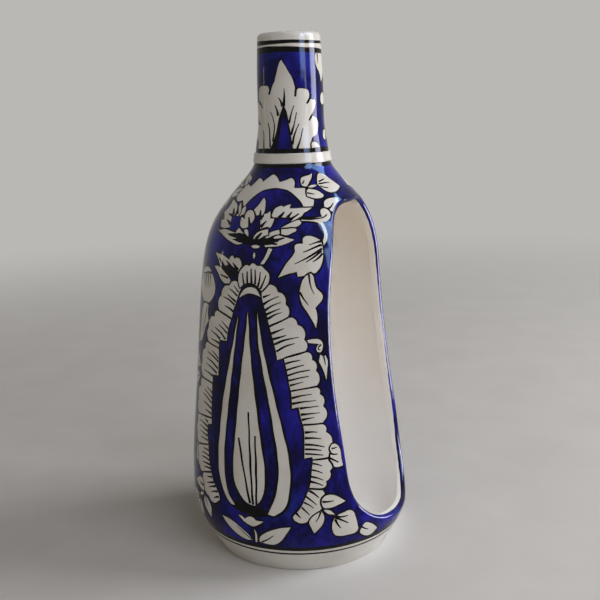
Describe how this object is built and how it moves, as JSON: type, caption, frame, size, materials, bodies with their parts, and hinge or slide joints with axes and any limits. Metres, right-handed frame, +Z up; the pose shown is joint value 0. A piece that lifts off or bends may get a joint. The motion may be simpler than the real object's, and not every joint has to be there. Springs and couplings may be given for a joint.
{
  "type": "bottle vase",
  "caption": "Glazed pottery bottle vase with a slim neck, tapered body and a tall egg-shaped opening in its side, for stems, dried flowers or a small object inside.",
  "frame": {"origin": "on the table, under the middle of the foot", "axes": "+Z up along the turning axis, +X out of the middle of the side opening"},
  "size_m": [0.1109, 0.113, 0.254],
  "materials": {
    "white_glaze": "glossy clear glaze over white slip",
    "painted_glaze": "cobalt brushwork under a glossy clear glaze outside, white inside"
  },
  "bodies": {
    "root": {"foot_ring": "white_glaze", "base_bowl": "painted_glaze", "belly_wall": "painted_glaze", "shoulder_dome": "painted_glaze", "neck_collar": "white_glaze", "neck_tube": "painted_glaze", "mouth_lip": "white_glaze"}
  },
  "joints": []
}
